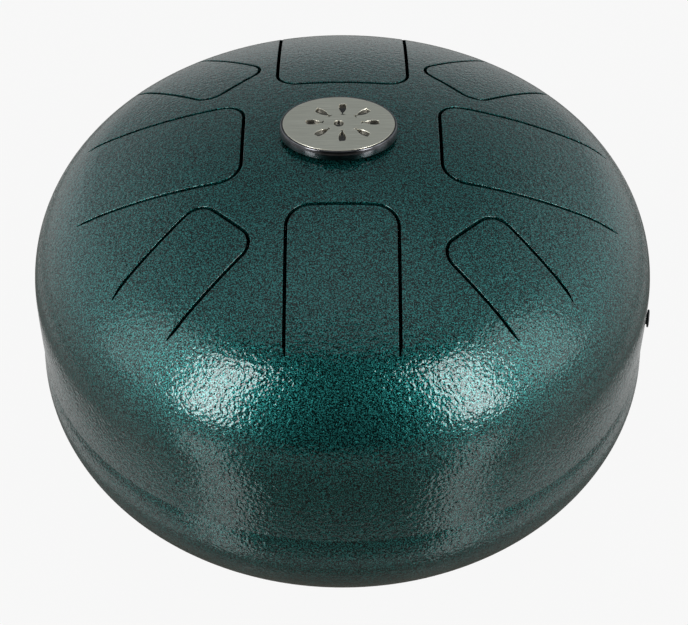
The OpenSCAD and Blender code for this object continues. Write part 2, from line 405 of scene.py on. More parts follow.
class Graph:
    """Node tree of a material or a world, filled from code.

    Values are given by the name or the number of an input. Sockets are linked, the rest is set.
    """

    def __init__(self, owner: Union[bpy.types.Material, bpy.types.World]) -> None:
        """Empties the node tree.

        Args:
            owner: The material or the world.
        """
        owner.use_nodes = True
        self.tree = owner.node_tree
        self.tree.nodes.clear()

    def node(self, kind: str, values: Optional[dict] = None) -> bpy.types.Node:
        """Adds a node.

        Args:
            kind: Type of the node, as it goes on after the word ShaderNode.
            values: Values of its inputs, and its properties by name.

        Returns:
            The node.
        """
        node = self.tree.nodes.new(f"ShaderNode{kind}")
        for key, value in (values or {}).items():
            if isinstance(value, Socket):
                self.tree.links.new(value, node.inputs[key])
            elif isinstance(key, str) and hasattr(node, key) and key not in node.inputs:
                setattr(node, key, value)
            else:
                node.inputs[key].default_value = value
        return node

    def add(self, kind: str, values: Optional[dict] = None, output: Union[int, str] = 0) -> Socket:
        """Adds a node and returns one of its outputs, the first one if none is named."""
        return self.node(kind, values).outputs[output]

    def ramp(self, source: Socket, stops: Stops) -> Socket:
        """Adds a colour ramp.

        Args:
            source: Value that runs along the ramp.
            stops: Place and sRGB hex colour of each stop, in order.

        Returns:
            The ramp's colour.
        """
        node = self.node("ValToRGB", {"Fac": source})
        stop_list = node.color_ramp.elements
        while len(stop_list) < len(stops):
            stop_list.new(1.0)
        for element, (place, colour) in zip(stop_list, stops):
            element.position = place
            element.color = linear(colour)
        return node.outputs["Color"]

    def remap(self, value: Socket, source: Pair, target: Pair = (0, 1), smooth: bool = False) -> Socket:
        """Maps a value from one range onto another.

        Args:
            value: Value to map.
            source: Ends of the range that it comes from.
            target: Ends of the range that it goes to.
            smooth: True eases it in and out.

        Returns:
            The mapped value.
        """
        return self.add("MapRange", {
            "interpolation_type": "SMOOTHSTEP" if smooth else "LINEAR", "Value": value,
            "From Min": source[0], "From Max": source[1], "To Min": target[0], "To Max": target[1],
        })

    def calc(self, operation: str, *values: Number) -> Socket:
        """Works out a value from sockets and numbers."""
        return self.add("Math", {"operation": operation, **dict(enumerate(values))})

    def mix(self, share: Number, low: Colour, high: Colour, blend: str = "MIX") -> Socket:
        """Mixes two colours by a share, which is 0 for the first alone and 1 for the second."""
        return self.add("Mix", {"data_type": "RGBA", "blend_type": blend, 0: share, 6: low, 7: high}, 2)

    def coordinates(self, stretch: Point = (1, 1, 1)) -> Socket:
        """Object coordinates in metres, stretched along the axes."""
        return self.add("Mapping", {"Scale": stretch, "Vector": self.add("TexCoord", output="Object")})

    def noise(self, place: Socket, size_mm: float, detail: float, roughness: float = 0.5) -> Socket:
        """Adds a soft noise.

        Args:
            place: Coordinates in metres.
            size_mm: Distance from lump to lump in millimetres.
            detail: Finer layers that lie on the lumps.
            roughness: How strong the finer layers are.

        Returns:
            The noise, from 0 to 1.
        """
        values = {"Scale": 1 / (size_mm * MM), "Detail": detail, "Roughness": roughness, "Vector": place}
        return self.add("TexNoise", values, "Fac")

    def bump(self, height: Socket, relief_mm: float, under: Optional[Socket] = None) -> Socket:
        """Adds relief to a surface.

        Args:
            height: Height as a share of the relief.
            relief_mm: Relief in millimetres.
            under: Normal of a coarser relief that this one lies on.

        Returns:
            The normal.
        """
        values = {"Strength": 1.0, "Distance": relief_mm * MM, "Height": height}
        return self.add("Bump", {**values, "Normal": under} if under else values)


@dataclass(frozen=True)
class Finish:
    """A finish of one kind of surface, made into a material once."""

    name: str

    def material(self) -> bpy.types.Material:
        """Makes the finish's material the first time, and finds it after that.

        Returns:
            The material.
        """
        found = bpy.data.materials.get(self.name)
        if found:
            return found
        material = bpy.data.materials.new(self.name)
        graph = Graph(material)
        graph.node("OutputMaterial", {"Surface": graph.add("BsdfPrincipled", self.look(graph))})
        return material

    def look(self, graph: Graph) -> dict:
        """Adds the nodes that feed the shader, and gives the values of its inputs."""
        raise NotImplementedError


@dataclass(frozen=True)
class VeinCoat(Finish):
    """Baked hammer-vein powder coat over steel.

    The eye sees a deep teal sheet of fine grains and small dark pits under a clear and glossy skin. The pits'
    dark colour is painted shade, and the grains are painted darker in their hollows and lighter on their
    crests, partly the paint's own mottled tone and partly painted shade and light. The skin lies over them
    like orange peel, with waves of its own, and is duller over the dark grains and the pits.
    """

    # Dark and light grain colours; dark in the grain's hollows, partly the paint's own tone, partly painted
    # shade
    low: str = "#031110"
    high: str = "#226c69"
    # Painted shade: colour of the pits, darker than the paint, standing in for the shade that falls in them
    pit_painted_shade: str = "#051d1c"
    # Places of the dark and the light grain in the noise
    low_at: float = 0.44
    high_at: float = 0.64
    grain_mm: float = 0.6
    grain_relief_mm: float = 0.07
    # Gloss that is left over the dark grains
    grain_gloss: float = 0.75
    pit_mm: float = 2.0
    pit_r_mm: float = 0.36
    pit_depth_mm: float = 0.14
    # Where the floor of a pit ends and where its brim does, as shares of its radius
    pit_floor_share: float = 0.5
    pit_brim_share: float = 1.3
    # Orange peel of the skin
    swell_mm: float = 1.9
    swell_relief_mm: float = 0.29
    # Slow waves that the sprayed powder leaves
    wave_mm: float = 7.0
    wave_relief_mm: float = 0.05
    # Gloss and roughness of the paint itself, under the skin
    metallic: float = 0.85
    gloss: float = 0.0
    roughness: float = 0.38
    coat_roughness: float = 0.02

    def look(self, graph: Graph) -> dict:
        """Adds the nodes that feed the shader.

        Args:
            graph: The material's nodes.

        Returns:
            Values of the shader's inputs.
        """
        place = graph.coordinates()
        grain = graph.noise(place, self.grain_mm, 1)
        pits = graph.add("TexVoronoi", {"feature": "F1", "Scale": 1 / (self.pit_mm * MM), "Vector": place})
        radius = self.pit_r_mm / self.pit_mm
        pit_ends = (radius * self.pit_floor_share, radius * self.pit_brim_share)
        # Pit mask, 0 in a pit: it lays the pits' painted shade, their depth and their duller skin
        level = graph.remap(pits, pit_ends, smooth=True)
        # Grain colour, painted darker in the grain's hollows: partly the paint's own tone, partly painted
        # shade
        paint = graph.ramp(grain, ((self.low_at, self.low), (self.high_at, self.high)))
        skin_gloss = graph.remap(grain, (self.low_at, self.high_at), (self.grain_gloss, 1))
        wave = graph.bump(graph.noise(place, self.wave_mm, 1), self.wave_relief_mm)
        skin = graph.bump(graph.noise(place, self.swell_mm, 1), self.swell_relief_mm, wave)
        grained = graph.bump(grain, self.grain_relief_mm, skin)
        return {
            # Painted shade in the pits, over the grain's colour
            "Base Color": graph.mix(level, linear(self.pit_painted_shade), paint),
            "Normal": graph.bump(level, self.pit_depth_mm, grained),
            "Metallic": self.metallic,
            "Specular IOR Level": self.gloss,
            "Roughness": self.roughness,
            "Coat Weight": graph.calc("MULTIPLY", skin_gloss, level),
            "Coat Normal": skin,
            "Coat Roughness": self.coat_roughness,
        }


@dataclass(frozen=True)
class BrushedMetal(Finish):
    """Plated metal brushed along X before it was sealed.

    The eye sees fine straight lines that pull each lamp out sideways.
    """

    dark: str = "#b8b4a6"
    light: str = "#e6e2d3"
    # Distance from line to line, drawn coarser than the real 0.05 mm so that it shows
    line_mm: float = 0.25
    line_length_mm: float = 14.0
    relief_mm: float = 0.004
    roughness: float = 0.32
    # How much rougher the dark lines are, and how much smoother the light ones, as a share
    contrast_share: float = 0.2

    def look(self, graph: Graph) -> dict:
        """Adds the nodes that feed the shader.

        Args:
            graph: The material's nodes.

        Returns:
            Values of the shader's inputs.
        """
        across = 1 / (self.line_mm * MM)
        place = graph.coordinates((1 / (self.line_length_mm * MM), across, across))
        lines = graph.add("TexNoise", {"Scale": 1.0, "Detail": 3.0, "Vector": place}, "Fac")
        rough = (self.roughness * (1 + self.contrast_share), self.roughness * (1 - self.contrast_share))
        return {
            "Base Color": graph.ramp(lines, ((0.25, self.dark), (0.75, self.light))),
            "Normal": graph.bump(lines, self.relief_mm),
            "Roughness": graph.remap(lines, (0, 1), rough),
            "Metallic": 1.0,
        }


@dataclass(frozen=True)
class CloudedMetal(Finish):
    """Plated metal with faint clouds from the bath and from handling.

    The eye sees a nearly even mirror that dulls a little in patches.
    """

    dark: str = "#4a4a4c"
    light: str = "#68686b"
    cloud_mm: float = 6.0
    roughness: float = 0.07
    roughness_spread: float = 0.06

    def look(self, graph: Graph) -> dict:
        """Adds the nodes that feed the shader.

        Args:
            graph: The material's nodes.

        Returns:
            Values of the shader's inputs.
        """
        clouds = graph.noise(graph.coordinates(), self.cloud_mm, 5, 0.6)
        rough = (self.roughness, self.roughness + self.roughness_spread)
        return {
            "Base Color": graph.ramp(clouds, ((0.3, self.dark), (0.7, self.light))),
            "Roughness": graph.remap(clouds, (0, 1), rough),
            "Metallic": 1.0,
        }


@dataclass(frozen=True)
class MouldedRubber(Finish):
    """Moulded black rubber.

    The eye sees a dark matt skin with a fine grain from the mould and paler dust in patches.
    """

    dark: str = "#101011"
    light: str = "#242425"
    grain_mm: float = 0.4
    patch_mm: float = 7.0
    relief_mm: float = 0.02
    roughness: float = 0.62
    # How far the patches hide the grain, as a share
    patch_share: float = 0.7
    ior: float = 1.52

    def look(self, graph: Graph) -> dict:
        """Adds the nodes that feed the shader.

        Args:
            graph: The material's nodes.

        Returns:
            Values of the shader's inputs.
        """
        place = graph.coordinates()
        grain = graph.noise(place, self.grain_mm, 3)
        patch = graph.noise(place, self.patch_mm, 3)
        dust = graph.add("Mix", {"data_type": "FLOAT", 0: self.patch_share, 2: grain, 3: patch})
        return {
            "Base Color": graph.ramp(dust, ((0.35, self.dark), (0.68, self.light))),
            "Normal": graph.bump(grain, self.relief_mm),
            "Roughness": self.roughness,
            "IOR": self.ior,
        }


COAT = VeinCoat("hammer_vein_powder_coat")
NICKEL = BrushedMetal("brushed_satin_nickel")
CHROME = CloudedMetal("dark_chrome_plate")
ZINC = CloudedMetal("zinc_plated_steel", "#8f9294", "#bcbfc1", 3.0, 0.28, 0.15)
ENAMEL = MouldedRubber("black_fired_enamel", "#0d0c0b", "#1c1a17", 0.8, 5.0, 0.004, 0.22)
FOOT_RUBBER = MouldedRubber("moulded_foot_rubber")
EDGING_RUBBER = MouldedRubber("extruded_edging_rubber", "#0c0c0d", "#1b1b1c", 0.6, 9.0, 0.015, 0.5)
PLUG_RUBBER = MouldedRubber("moulded_plug_rubber", "#0d0d0e", "#1e1e1f", 0.3, 4.0, 0.015, 0.55)
FOAM = MouldedRubber("closed_cell_foam", "#070707", "#161616", 0.5, 3.0, 0.06, 0.9)


# Forms of the drum


@dataclass(frozen=True)
class Steps:
    """How finely one side of a head's section is drawn."""

    crown: int
    knuckle: int
    wall: int


@dataclass(frozen=True)
class Head:
    """Place of one head, and how finely its section is drawn."""

    # Levels of the knuckle's centre and of the wall's edge
    knuckle: float
    edge: float
    # 1 for a head that is dished upwards, -1 for one that is dished downwards
    side: int
    # Distance from the axis at which the section starts
    start_r: float
    outside: Steps
    inside: Steps


@dataclass(frozen=True)
class HeadForm:
    """Outer form that both heads share: a shallow crown, a tight knuckle and an upright wall."""

    body_r: float
    wall: float = 2.5 * MM
    crown_r: float = 263 * MM
    knuckle_r: float = 61.5 * MM

    @property
    def knuckle_x(self) -> float:
        """Distance of the knuckle's centre from the axis."""
        return self.body_r - self.knuckle_r

    @property
    def crown_drop(self) -> float:
        """Depth of the crown's centre below the knuckle's centre."""
        return math.sqrt((self.crown_r - self.knuckle_r) ** 2 - self.knuckle_x ** 2)

    @property
    def crown_angle(self) -> float:
        """Angle in degrees from the axis at which the crown runs into the knuckle."""
        return math.degrees(math.atan2(self.knuckle_x, self.crown_drop))

    @property
    def dish(self) -> float:
        """Height of the crown's top over the knuckle's centre."""
        return self.crown_r - self.crown_drop

    def rise(self, radius: float) -> float:
        """Height of the outer surface over the knuckle's centre.

        Args:
            radius: Distance from the axis.

        Returns:
            The height.
        """
        crown_end = self.crown_r * math.sin(math.radians(self.crown_angle))
        if radius <= crown_end:
            return math.sqrt(self.crown_r ** 2 - radius ** 2) - self.crown_drop
        return math.sqrt(max(0.0, self.knuckle_r ** 2 - (radius - self.knuckle_x) ** 2))

    def crown_points(self, inset: float, start_r: float, steps: Steps) -> list[Point]:
        """Half section from the crown to the end of the knuckle, over the knuckle's centre.

        Args:
            inset: Depth under the outer surface.
            start_r: Distance from the axis at which the section starts.
            steps: How finely it is drawn.

        Returns:
            The points, outwards from the axis.
        """
        crown_r = self.crown_r - inset
        start = 90 - math.degrees(math.asin(start_r / crown_r))
        meeting = 90 - self.crown_angle
        crown = arc(0, -self.crown_drop, crown_r, start, meeting, steps.crown)
        knuckle = arc(self.knuckle_x, 0, self.knuckle_r - inset, meeting, 0, steps.knuckle)
        return crown + knuckle[1:]


@dataclass(frozen=True)
class Seam:
    """Where the two heads meet.

    Both are drawn in a little at the weld, which is ground flush under the coat.
    """

    level: float
    upper_knuckle: float
    weld_w: float = 5 * MM
    # How far each head is drawn in at the weld, and how the draw fades away from it
    upper_draw: float = 0.9 * MM
    upper_power: float = 1.6
    lower_draw: float = 0.35 * MM
    lower_power: float = 2.0
    lower_reach: float = 22 * MM

    @property
    def top(self) -> float:
        """Level of the weld's upper edge."""
        return self.level + self.weld_w / 2

    @property
    def bottom(self) -> float:
        """Level of the weld's lower edge."""
        return self.level - self.weld_w / 2

    def draw_in(self, z: float) -> float:
        """How far the wall is drawn in.

        Args:
            z: Level on the wall.

        Returns:
            The distance.
        """
        if z >= self.top:
            depth = max(0.0, (self.upper_knuckle - z) / (self.upper_knuckle - self.top))
            return self.upper_draw * depth ** self.upper_power
        if z > self.bottom:
            share = (z - self.bottom) / self.weld_w
            return self.lower_draw + (self.upper_draw - self.lower_draw) * share
        return self.lower_draw * max(0.0, 1 - (self.bottom - z) / self.lower_reach) ** self.lower_power


@dataclass(frozen=True)
class Tongue:
    """One tongue of the upper head, seen from above with its tip towards the axis.

    The azimuth is in degrees from +X. The width, the tip's and the root's distances from the axis and the
    corners' radius are in millimetres.
    """

    name: str
    azimuth: float
    width: float
    tip: float
    root: float
    corner: float

    @property
    def node(self) -> str:
        """Name of its CAD node."""
        return f"tongue_{self.name}"


WIDE_CORNER = 10.5
NARROW_CORNER = 8.5
TONGUES = (
    Tongue("front", -90, 49.8, 48.7, 121.0, WIDE_CORNER),
    Tongue("front_right", -45, 36.3, 81.0, 130.2, NARROW_CORNER),
    Tongue("right", 0, 56.5, 47.4, 130.7, WIDE_CORNER),
    Tongue("back_right", 45, 37.9, 73.4, 128.5, NARROW_CORNER),
    Tongue("back", 90, 62.7, 45.0, 127.0, WIDE_CORNER),
    Tongue("back_left", 135, 38.0, 73.7, 129.0, NARROW_CORNER),
    Tongue("left", 180, 56.0, 48.1, 125.5, WIDE_CORNER),
    Tongue("front_left", -135, 36.9, 74.6, 129.7, NARROW_CORNER),
)


@dataclass(frozen=True)
class Shells:
    """The two pressed heads, the tongues that are cut in the upper one, and the weld between them."""

    form: HeadForm
    seam: Seam
    lower_knuckle: float
    weld_steps: int = 4
    slot_w: float = 1.6 * MM
    # Length over which a slot narrows at the root
    slot_taper: float = 4.5 * MM
    # Width that is left of a slot at its very end
    slot_end: float = 0.7 * MM
    # Rounding that the coat gives the edges of a slot
    lip: float = 0.3 * MM
    # Steps round each corner of a tongue's tip
    corner_steps: int = 9
    # Distance from cut to cut, so that a tongue follows the crown
    slice_step: float = 4.5 * MM
    # How far a cutting prism reaches over and under the outer surface
    prism_up: float = 4 * MM
    prism_down: float = 9 * MM
    # Length over which a tongue starts to follow its own body
    flex_length: float = 9 * MM
    plug_hole_r: float = 3 * MM
    screw_hole_r: float = 2.7 * MM

    def build(self, plug: "SidePlug", feet: "Feet") -> None:
        """Makes every piece of the shells.

        Args:
            plug: Side plug, whose hole goes through the upper head.
            feet: Feet, whose screws go through the lower head.
        """
        head = self.upper_head()
        self.tongues(copied(head, "tongue_sheet"))
        tools = [self.prism(tongue, True) for tongue in TONGUES] + [plug.drill(self.plug_hole_r)]
        combine(head, joined(tools), "DIFFERENCE")
        shaded(head)
        settle(head, Body.DRUM, Slot.COAT, COAT, "top_shell")
        self.lower_head(feet)
        self.weld()

    def section(self, head: Head) -> list[Point]:
        """Draws a head's half section, set on its level and drawn in at the seam.

        Args:
            head: The head.

        Returns:
            The points, along the outer surface to the wall's edge and back along the inner one.
        """
        sides = []
        for inset, steps in ((0, head.outside), (self.form.wall, head.inside)):
            crown = self.form.crown_points(inset, head.start_r, steps)
            placed = [(x, 0, head.knuckle + head.side * h) for x, _, h in crown]
            for k in range(1, steps.wall + 1):
                level = head.knuckle + (head.edge - head.knuckle) * k / steps.wall
                placed.append((self.form.body_r - inset, 0, level))
            sides.append([(x - self.seam.draw_in(z) * (x > self.form.knuckle_x), 0, z) for x, _, z in placed])
        return sides[0] + sides[1][::-1]

    def upper_head(self) -> Object:
        """Spins the upper head.

        Returns:
            The head, whole and without its slots.
        """
        outside = Steps(crown=44, knuckle=26, wall=12)
        inside = Steps(crown=22, knuckle=10, wall=3)
        head = Head(self.seam.upper_knuckle, self.seam.top, 1, 0, outside, inside)
        return spun("upper_head", self.section(head), False, ROUND_STEPS)

    def lower_head(self, feet: "Feet") -> None:
        """Makes the lower head with its sound port and screw holes.

        Args:
            feet: Feet, whose screws go through it.
        """
        outside = Steps(crown=24, knuckle=26, wall=4)
        inside = Steps(crown=16, knuckle=10, wall=1)
        head = Head(self.lower_knuckle, self.seam.bottom, -1, PORT_R, outside, inside)
        piece = spun("lower_head", self.section(head), True, ROUND_STEPS)
        combine(piece, joined(feet.drills(self.screw_hole_r)), "DIFFERENCE")
        shaded(piece)
        settle(piece, Body.DRUM, Slot.COAT, COAT, "bottom_shell")

    def weld(self) -> None:
        """Makes the weld ring that fills the gap between the heads' edges, flush with both walls."""
        seam, body_r = self.seam, self.form.body_r
        levels = [seam.bottom + seam.weld_w * k / self.weld_steps for k in range(self.weld_steps + 1)]
        outer = [(body_r - seam.draw_in(z), 0, z) for z in levels]
        outer[0] = (body_r - seam.lower_draw, 0, seam.bottom)
        inner = [(body_r - self.form.wall - seam.draw_in(z), 0, z) for z in (levels[-1], levels[0])]
        ring = spun("weld_ring", outer + inner, True, ROUND_STEPS)
        shaded(ring)
        settle(ring, Body.DRUM, Slot.COAT, COAT, "seam_weld")

    def prism(self, tongue: Tongue, window: bool) -> Object:
        """A prism through the crown in the outline of a tongue, or of the window that it lies in.

        Its walls flare where they pass the outer surface, so that what it cuts has rounded edges there.

        Args:
            tongue: The tongue.
            window: True for the opening in the head, False for the tongue itself.

        Returns:
            The prism, in its place.
        """
        half = tongue.width / 2 * MM
        tip, root = tongue.tip * MM, tongue.root * MM
        grow = self.slot_w + self.lip if window else 0.0
        corner = tongue.corner * MM + grow
        obj = added(f"prism_{tongue.name}", bpy.ops.mesh.primitive_plane_add, size=2)
        obj.scale = ((root - tip) / 2 + grow, half + grow, 1)
        start_z = self.prism_up if window else -self.prism_down
        turned(obj, (0, 0, 0), ((root + tip) / 2, 0, start_z))
        with editing(obj):
            if window:
                bpy.ops.mesh.flip_normals()
            pick_points(obj, lambda vert: vert.co.x < tip + self.lip)
            bpy.ops.mesh.bevel(offset=corner, segments=self.corner_steps, affect="VERTICES")
        near, far = ROUND_NEAR * self.lip, ROUND_FAR * self.lip
        upwards = [(0, self.prism_down - self.lip), (near, far), (far, near), (0, self.prism_up)]
        stacked(obj, upwards[::-1] if window else upwards)
        sliced(obj, Vector((1, 0, 0)), [root - self.slot_taper])
        end_half = half + (self.slot_end if window else 0.0)

        def squared_root(point: Vector) -> Vector:
            """Puts a point near the root on the root's line, as far out as the slot's end."""
            moved = Vector((root, math.copysign(end_half, point.y), point.z))
            return point if point.x < root - self.slot_taper / 2 else moved

        move_points(obj, squared_root)
        sliced(obj, Vector((1, 0, 0)), spread(tip + self.lip, root, self.slice_step))
        sliced(obj, Vector((0, 1, 0)), spread(-half + self.slot_w, half - self.slot_w, self.slice_step))
        knuckle = self.seam.upper_knuckle
        move_points(obj, lambda p: Vector((p.x, p.y, p.z + knuckle + self.form.rise(math.hypot(p.x, p.y)))))
        turned(obj, (0, 0, math.radians(tongue.azimuth)))
        tidy_mesh(obj)
        return obj

    def tongues(self, sheet: Object) -> None:
        """Keeps the eight tongues of a copy of the head, each as a piece of its own.

        Args:
            sheet: Copy of the whole upper head.
        """
        combine(sheet, joined([self.prism(tongue, False) for tongue in TONGUES]), "INTERSECT")
        only(sheet)
        with editing(sheet):
            bpy.ops.mesh.separate(type="LOOSE")
        for piece in list(bpy.context.selected_objects):
            centre = sum((Vector(corner) for corner in piece.bound_box), Vector()) / 8
            azimuth = math.degrees(math.atan2(centre.y, centre.x))
            tongue = min(TONGUES, key=lambda t: abs((t.azimuth - azimuth + 180) % 360 - 180))
            piece.name = f"{tongue.name}_tongue"
            piece.data.name = piece.name
            shaded(piece)
            dress(piece, COAT)
            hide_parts(tongue.node)
            tongue.node
            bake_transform(piece)
            LOG.info("%s bends with %s, %d faces", piece.name, tongue.node, len(piece.data.polygons))


@dataclass(frozen=True)
class Feet:
    """Four moulded feet under the lower head, with the fasteners that hold them."""

    # Centre and radius of the lower head's outer crown
    crown_centre: float
    crown_r: float
    pitch_r: float = 78 * MM
    azimuths: tuple[tuple[str, float], ...] = (
        ("front_right", -45), ("back_right", 45), ("back_left", 135), ("front_left", -135),
    )
    base_r: float = 12.5 * MM
    top_r: float = 15 * MM
    # Level of the top until it is fitted to the crown
    top_level: float = 12 * MM
    recess_r: float = 7 * MM
    recess_h: float = 8 * MM
    recess_steps: int = 4
    hole_r: float = 2.7 * MM
    rounding: float = 1.2 * MM
    rounding_steps: int = 6
    drill_h: float = 60 * MM
    drill_steps: int = 24

    def place(self, azimuth: float) -> Point:
        """Centre of a foot on the ground."""
        turn = math.radians(azimuth)
        return (self.pitch_r * math.cos(turn), self.pitch_r * math.sin(turn), 0)

    def drills(self, radius: float) -> list[Object]:
        """Makes round tools that cut the screw holes in the lower head.

        Args:
            radius: Radius of a hole.

        Returns:
            One tool for each foot.
        """
        tools = []
        for _, azimuth in self.azimuths:
            tool = added("screw_drill", bpy.ops.mesh.primitive_cylinder_add,
                         vertices=self.drill_steps, radius=radius, depth=self.drill_h)
            tools.append(turned(tool, (0, 0, 0), self.place(azimuth)))
        return tools

    def build(self) -> None:
        """Spins each foot about its screw, and fits its top to the crown."""
        rounding, small = self.rounding, self.rounding / 2

        def fitted(point: Vector) -> Vector:
            """Lays a point of the foot's top on the lower crown."""
            level = self.crown_centre - math.sqrt(self.crown_r ** 2 - point.x ** 2 - point.y ** 2)
            return point if point.z < self.top_level - MERGE else Vector((point.x, point.y, level))

        for name, azimuth in self.azimuths:
            outline = [(self.hole_r, 0, self.recess_h), (self.recess_r, 0, self.recess_h)]
            outline += arc(self.recess_r + small, small, small, 180, 270, self.recess_steps)
            outline += arc(self.base_r - rounding, rounding, rounding, -90, 0, self.rounding_steps)
            outline += [(self.top_r, 0, self.top_level), (self.hole_r, 0, self.top_level)]
            foot = spun(f"{name}_foot", outline, True, SMALL_STEPS, self.place(azimuth))
            move_points(foot, fitted)
            shaded(foot)
            settle(foot, Body.DRUM, Slot.FOOT, FOOT_RUBBER, f"foot_{name}")
        for node in ("foot_screws", "foot_washers", "nut_washers", "foot_nuts"):
            dress(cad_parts[node], ZINC)
        dress(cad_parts["foot_saddles"], FOOT_RUBBER)


@dataclass(frozen=True)
class PortEdging:
    """Rubber edging pushed over the edge of the sound port."""

    # Centre and radius of the lower head's outer crown
    crown_centre: float
    crown_r: float
    wall: float
    section_r: float = 3.4 * MM
    section_steps: int = 22
    port_steps: int = 128

    def build(self) -> None:
        """Spins the edging's section, a round bead with a slit for the sheet."""
        sheet_r = self.crown_r - self.wall / 2
        level = self.crown_centre - math.sqrt(sheet_r ** 2 - PORT_R ** 2)
        slope = math.degrees(math.asin(PORT_R / sheet_r))
        slit = math.degrees(math.asin(self.wall / 2 / self.section_r))
        bead = arc(PORT_R, level, self.section_r, slope + slit, slope + 360 - slit, self.section_steps)
        turn = math.radians(slope + 90)
        across = Vector((math.cos(turn), 0, math.sin(turn))) * self.wall / 2
        centre = Vector((PORT_R, 0, level))
        outline = bead + [tuple(centre - across), tuple(centre + across)]
        ring = spun("port_edging", outline, True, self.port_steps)
        shaded(ring)
        settle(ring, Body.DRUM, Slot.EDGING, EDGING_RUBBER, "port_trim")


@dataclass(frozen=True)
class SidePlug:
    """Small rubber plug in the wall on the player's right."""

    wall_r: float
    wall: float
    level: float
    azimuth: float = -7.3
    head_r: float = 4.5 * MM
    head_t: float = 0.9 * MM
    # Angle in degrees at which the head's rounding runs into its flat dome
    dome_angle: float = 78.0
    dome_steps: int = 8
    neck: float = 0.8 * MM
    stem_r: float = 2.95 * MM
    # How far the stem reaches behind the wall, and how thin its tip is there
    reach: float = 3.5 * MM
    tip_share: float = 0.8
    drill_h: float = 10 * MM
    drill_steps: int = 32

    def placed(self, obj: Object) -> Object:
        """Lays what was made about +Z into the wall, pointing outwards.

        Args:
            obj: Object to lay down.

        Returns:
            The same object.
        """
        turn = math.radians(self.azimuth)
        place = (self.wall_r * math.cos(turn), self.wall_r * math.sin(turn), self.level)
        return turned(obj, (0, math.radians(90), turn), place)

    def drill(self, radius: float) -> Object:
        """A round tool that cuts the plug's hole."""
        return self.placed(added("plug_drill", bpy.ops.mesh.primitive_cylinder_add,
                                 vertices=self.drill_steps, radius=radius, depth=self.drill_h))

    def build(self) -> None:
        """Spins the plug: a tapered tip, a stem and a low domed head."""
        inner = -self.wall
        rounding = self.head_t / 2
        outline = [(0, 0, inner - self.reach), (self.stem_r * self.tip_share, 0, inner - self.reach)]
        outline += [(self.stem_r, 0, inner), (self.stem_r, 0, self.neck)]
        head_x, head_z = self.head_r - rounding, self.neck + rounding
        outline += arc(head_x, head_z, rounding, -90, self.dome_angle, self.dome_steps)
        outline += [(0, 0, self.neck + self.head_t)]
        plug = self.placed(spun("wall_plug", outline, False, SMALL_STEPS))
        shaded(plug)
        settle(plug, Body.PLUG, Slot.PLUG, PLUG_RUBBER, "side_plug")


